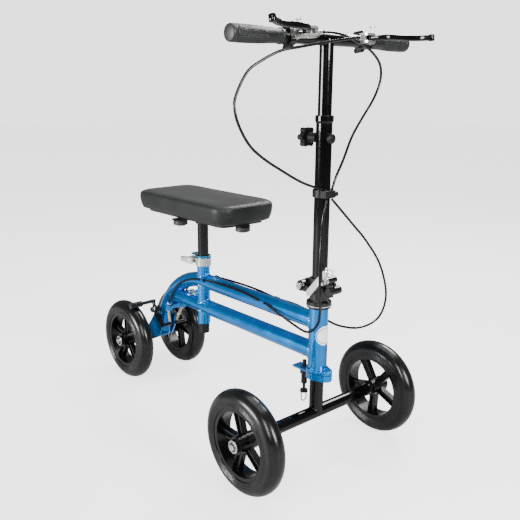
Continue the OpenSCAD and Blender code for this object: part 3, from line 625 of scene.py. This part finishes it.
def make_cables():
    for name, points, rings in (("right", UPPER_RIGHT, 150), ("left", UPPER_LEFT, 160)):
        cable(f"cable_upper_{name}", spline(metres(points), rings), "cables_upper",
              bend=("column", "upper", (305, 0, 560), (305, 0, 798)))
    for name, points in (("right", MIDDLE_RIGHT), ("left", MIDDLE_LEFT)):
        turn = Vector(points[TURN_POINT])
        line = spline(metres(points), 190)
        ring = min(range(len(line)), key=lambda i: (line[i] - turn * MM).length)
        cable(f"cable_column_{name}", line[:ring + 1], "cables_middle",
              bend=("column", "steerer", (turn.x, turn.y, 525), (turn.x, turn.y, turn.z + 8)))
        cable(f"cable_steering_{name}", line[ring:], "cables_middle",
              bend=("steerer", "frame", turn, points[-3]))
    for name, points in (("right", FRAME_RIGHT), ("left", FRAME_LEFT)):
        cable(f"cable_frame_{name}", spline(metres(points), 110), "cables_frame", body="frame")


# ---------------------------------------------------------------- handlebar controls

GRIP_LENGTH = 110 * MM
DIAMOND_MIDDLE = math.radians(-35)      # round the bar, above straight ahead
DIAMOND_REACH = math.radians(62)
DIAMOND_FROM, DIAMOND_TO = 34, 96       # along the grip, in millimetres
# Outline of the grip: distance from its inner end and radius, both in millimetres
GRIP_OUTLINE = [(0, 13.2), (0.6, 13.6), (3.6, 13.6), (4.4, 12.6), (12, 12.5), (30, 13.0), (50, 13.9),
                (70, 14.4), (96, 14.5), (98.4, 14.2), (99.2, 13.5), (100.2, 13.5), (101, 14.5),
                (107, 14.4), (109, 13.6), (110, 11.8)]


def unit(value):
    """The value, held between nothing and one."""
    return min(1, max(0, value))


def make_grip(side, name):
    """Grip that swells outwards, with raised diamonds in front and below, and a ring at its end."""
    inner = HALF_BAR - GRIP_LENGTH
    place = Vector((STEER_X, 0, BAR_Z))
    offsets = np.concatenate([np.linspace(0, 5, 14), np.linspace(5.4, 98, 190), np.linspace(98.3, 110, 34)])
    sides = 160
    pitch, round_count = 7, 13
    verts = []
    for offset in offsets:
        base = np.interp(offset, *zip(*GRIP_OUTLINE))
        lengthwise = unit((offset - DIAMOND_FROM) / 2) * unit((DIAMOND_TO - offset) / 2)
        for a in turns_round(sides)[:-1]:
            across = DIAMOND_REACH - abs(math.remainder(a - DIAMOND_MIDDLE, 2 * math.pi))
            inside = unit(across * 14) * lengthwise
            along = 2 * math.pi * offset / pitch
            wave = math.cos(along + round_count * a) * math.cos(along - round_count * a)
            r = (base - 0.35 * inside + 0.75 * inside * unit(0.5 + 2.2 * wave)) * MM
            spot = Vector((r * math.cos(a), side * (inner + offset * MM), r * math.sin(a)))
            verts.append(place + spot)
    faces = capped(len(offsets), sides)
    if side > 0:
        faces = [face[::-1] for face in faces]
    mesh = mesh_from("grip", verts, faces)
    add_piece(f"grip_{name}", mesh, GRIP, BODY["grips"], ["grips"])


LEVER_TILT = {"right": 13, "left": 6}      # degrees that each lever rises to the front
LEVER_LINE = [(30, 80), (47, 93), (56, 112), (58, 150), (65, 178), (78, 199)]
LEVER_SIDES = 28
# Section of the blade: share of its length, half width and half height, both in millimetres
LEVER_BULK = [(0, 6.6, 3.9), (0.08, 5.6, 3.9), (0.2, 4.7, 4.9), (0.5, 4.4, 5.2), (0.85, 4.6, 5.2),
              (1, 4.8, 5.2)]
# Section of the lever's hub and stop: shares of the radius and of half the height
BOSS_OUTLINE = [(0.75, -1), (0.93, -0.9), (1, -0.7), (1, 0.7), (0.93, 0.9), (0.75, 1)]


def bar_section(middle, across, half_width, half_height):
    """Ring of points round a rounded bar's section."""
    ring = []
    for a in turns_round(LEVER_SIDES)[:-1]:
        c, s = math.cos(a), math.sin(a)
        ring.append(middle + across * half_width * math.copysign(abs(c) ** 0.7, c)
                    + Vector((0, 0, half_height * math.copysign(abs(s) ** 0.6, s))))
    return ring


def blade_rings(middles):
    """Rings of the lever's blade along its middle line."""
    shares, widths, heights = zip(*LEVER_BULK)
    last = len(middles) - 1
    rings = []
    for i, middle in enumerate(middles):
        along = (middles[min(i + 1, last)] - middles[max(i - 1, 0)]).normalized()
        across = Vector((along.y, -along.x, 0))
        half_width = np.interp(i / last, shares, widths) * MM
        half_height = np.interp(i / last, shares, heights) * MM
        rings.append(bar_section(middle, across, half_width, half_height))
    return rings


def boss_rings(middle, radius, half_height):
    """Rings of an upright round boss with chamfered ends, its sizes in millimetres."""
    rings = []
    for share, lift in BOSS_OUTLINE:
        r = radius * share
        rings.append([middle + Vector((r * math.cos(a), r * math.sin(a), half_height * lift)) * MM
                      for a in turns_round(LEVER_SIDES)[:-1]])
    return rings


def make_lever(side, name):
    """Hand lever: a smooth curved blade with a hub at one end and a round stop at the other."""
    middles = spline([Vector((x, y, 0)) * MM for x, y in LEVER_LINE], 70)
    verts, faces = [], []
    for rings in (blade_rings(middles), boss_rings(middles[0], 7, 3.9), boss_rings(middles[-1], 6, 6)):
        start = len(verts)
        faces += [tuple(start + k for k in face) for face in capped(len(rings), LEVER_SIDES)]
        verts += [v for ring in rings for v in ring]
    tilt = math.radians(LEVER_TILT[name])
    turn = Matrix.Translation((STEER_X, 0, BAR_Z)) @ Matrix.Rotation(-tilt, 4, "Y")
    mesh = mesh_from("lever", [turn @ Vector((v.x, side * v.y, v.z)) for v in verts], faces)
    shell = bmesh.new()
    shell.from_mesh(mesh)
    bmesh.ops.recalc_face_normals(shell, faces=shell.faces)
    shell.to_mesh(mesh)
    shell.free()
    node = f"lever_{name}"
    lever = add_piece(f"lever_blade_{name}", mesh, BLACK, BODY[node], [node])
    crease = lever.modifiers.new("Edges", "EDGE_SPLIT")
    crease.split_angle = math.radians(40)


# ---------------------------------------------------------------- brake springs

def make_spring(side, name):
    """Coil spring and inner wire from a cable adjuster down to the brake arm's foot."""
    start = Vector((-200.8, side * 20, 189.4)) * MM
    end = Vector((-211, side * 10, 156)) * MM
    axis = end - start
    along = axis.normalized()
    across = along.cross(Vector((0, 1, 0))).normalized()
    other = along.cross(across)
    turns, per_turn, coil_r = 13, 20, 3.1 * MM
    steps = turns * per_turn
    line = []
    for k in range(steps + 1):
        a = 2 * math.pi * k / per_turn
        line.append(start + axis * (k / steps) + coil_r * (math.cos(a) * across + math.sin(a) * other))
    tail = [end, end + Vector((-2, side * -1, -8)) * MM, Vector((-222, side * 5.5, 126)) * MM,
            Vector((-229, side * 3.5, 107)) * MM]
    coil = swept("spring", line, 0.75 * MM, 8)
    wire = swept("wire", [start, *spline(tail, 30)], 0.8 * MM, 8)
    pieces = [add_piece(f"return_spring_{name}", coil, WIRE, None, ["brake_wires"]),
              add_piece(f"brake_wire_{name}", wire, ZINC, None)]
    for piece in pieces:
        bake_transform(piece)


# ---------------------------------------------------------------- welds, badge and small details

def weld_line(tube_r, tube_axis_z, post_r, post_x, side):
    """Where a level tube along X meets a vertical tube, as a closed line of points."""
    line = []
    for a in turns_round(72):
        y, z = tube_r * math.cos(a), tube_r * math.sin(a)
        x = post_x + side * math.sqrt(max(post_r ** 2 - min(abs(y), post_r) ** 2, 0))
        line.append(Vector((x, y, tube_axis_z + z)))
    return line


def make_welds():
    """Beads where the two frame tubes meet the head tube and the seat tube."""
    head_r, seat_r = 19 * MM, 15 * MM
    places = [("head_top", weld_line(TUBE_R, TOP_TUBE_Z, head_r, STEER_X, -1)),
              ("head_low", weld_line(TUBE_R, LOW_TUBE_Z, head_r, STEER_X, -1))]
    for name, z in (("top", TOP_TUBE_Z), ("low", LOW_TUBE_Z)):
        for up in (-1, 1):
            line = []
            for a in turns_round(64):
                x, y = POST_X + seat_r * math.cos(a), seat_r * math.sin(a)
                line.append(Vector((x, y, z + up * math.sqrt(TUBE_R ** 2 - y ** 2))))
            places.append((f"seat_{name}_{'over' if up > 0 else 'under'}", line))
    for name, line in places:
        mesh = swept(name, line, 1.7 * MM, 8, ripple=lambda i: 1 + 0.22 * math.sin(2.1 * i))
        add_piece(f"weld_{name}", mesh, WELD, "frame")


def make_black_welds():
    """Beads where the steerer meets the front axle tube, and the upper tube meets the handlebar."""
    for name, z, tube_r, post_r, up, body in (("axle", WHEEL_R, 12.7 * MM, 12.6 * MM, 1, "steerer"),
                                              ("bar", BAR_Z, 11.1 * MM, 11.0 * MM, -1, "upper")):
        line = []
        for a in turns_round(64):
            x, y = post_r * math.cos(a), (post_r + 1.2 * MM) * math.sin(a)
            line.append(Vector((STEER_X + x, y, z + up * math.sqrt(tube_r ** 2 - x ** 2))))
        mesh = swept(name, line, 1.6 * MM, 8, ripple=lambda i: 1 + 0.2 * math.sin(2.1 * i))
        add_piece(f"weld_{name}", mesh, BLACK, body)


def make_cap_faces():
    """Dark ring let into each bright axle washer, round its bolt head."""
    inner, outer, depth = 6.9 * MM, 9.0 * MM, 0.5 * MM
    for node in ("front_axle_caps", "rear_axle_caps"):
        low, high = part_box(node)
        for side, name in ((-1, "right"), (1, "left")):
            face = side * (high.y - BOLT_HEAD)
            profile = [(inner, 0), (outer, 0), (outer, side * depth), (inner, side * depth)]
            ring = lathe(profile, 64, Vector(((low.x + high.x) / 2, face, (low.z + high.z) / 2)))
            add_piece(f"{node}_face_{name}", ring, BLACK_CAST, BODY[node], smooth=False)


def make_headset_ring():
    """Thin bright dust ring between the flange of the upper bearing cup and the turning cap."""
    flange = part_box("head_cups")[1].z
    sides = 96
    outline = ((23.55, -1.5), (24.7, -1.5), (25.2, -1.0), (25.2, 0.0), (24.6, 0.25), (23.55, 0.25))
    verts = []
    for a in turns_round(sides)[:-1]:
        for radius, lift in outline:
            r = radius * MM
            verts.append(Vector((STEER_X + r * math.cos(a), r * math.sin(a), flange + lift * MM)))
    faces = [face[::-1] for face in bands(sides, len(outline), closed=True)]
    mesh = mesh_from("headset_ring", verts, faces)
    ring = add_piece("headset_ring", mesh, CHROME, "frame")
    crease = ring.modifiers.new("Edges", "EDGE_SPLIT")
    crease.split_angle = math.radians(30)


def make_badge():
    """A thin round sticker that wraps round the front of the head tube."""
    radius, wrap = 20 * MM, 19.15 * MM
    rings, sides = 8, 48
    verts = []
    for i in range(rings + 1):
        for a in turns_round(sides)[:-1]:
            arc, z = radius * i / rings * math.cos(a), radius * i / rings * math.sin(a)
            turn = arc / wrap
            verts.append((STEER_X + wrap * math.cos(turn), wrap * math.sin(turn), BADGE_Z + z))
    mesh = mesh_from("badge", verts, [face[::-1] for face in bands(rings + 1, sides)])
    badge = add_piece("round_badge", mesh, BADGE, "frame")
    thick = badge.modifiers.new("Thickness", "SOLIDIFY")
    thick.thickness = 0.15 * MM


# ---------------------------------------------------------------- the scene

# Nodes that keep their shape, with their sharp edges rounded a little
FITTINGS = ["fold_base", "fold_head", "latch_bar", "fold_pin", "cam_lever", "rear_bracket",
            "brake_arm_right", "brake_arm_left", "seat_clamp", "seat_clamp_cap", "seat_lever",
            "seat_screw", "perches", "bar_clamps", "star_knob", "height_bolt", "cable_strap",
            "cable_adjusters", "front_axle_caps", "rear_axle_caps", "arm_pivot", "pad_knobs",
            "headset_cap", "plunger_body", "post_plug", "pad_board", "pad_bracket"]

make_camera()
make_floor()
make_world()
make_lights()
for wheel in ("front_right", "front_left", "rear_right", "rear_left"):
    make_tyre(f"tyre_{wheel}")
    softened(f"rim_{wheel}", 0.8 * MM)
for node in ("head_tube", "steer_plate"):
    softened(node, 1.1 * MM, 3)
for node in FITTINGS:
    softened(node)
make_pad()
make_cables()
for side, name in ((-1, "right"), (1, "left")):
    make_spring(side, name)
    make_grip(side, name)
    make_lever(side, name)
make_welds()
make_black_welds()
make_badge()
make_headset_ring()
make_cap_faces()
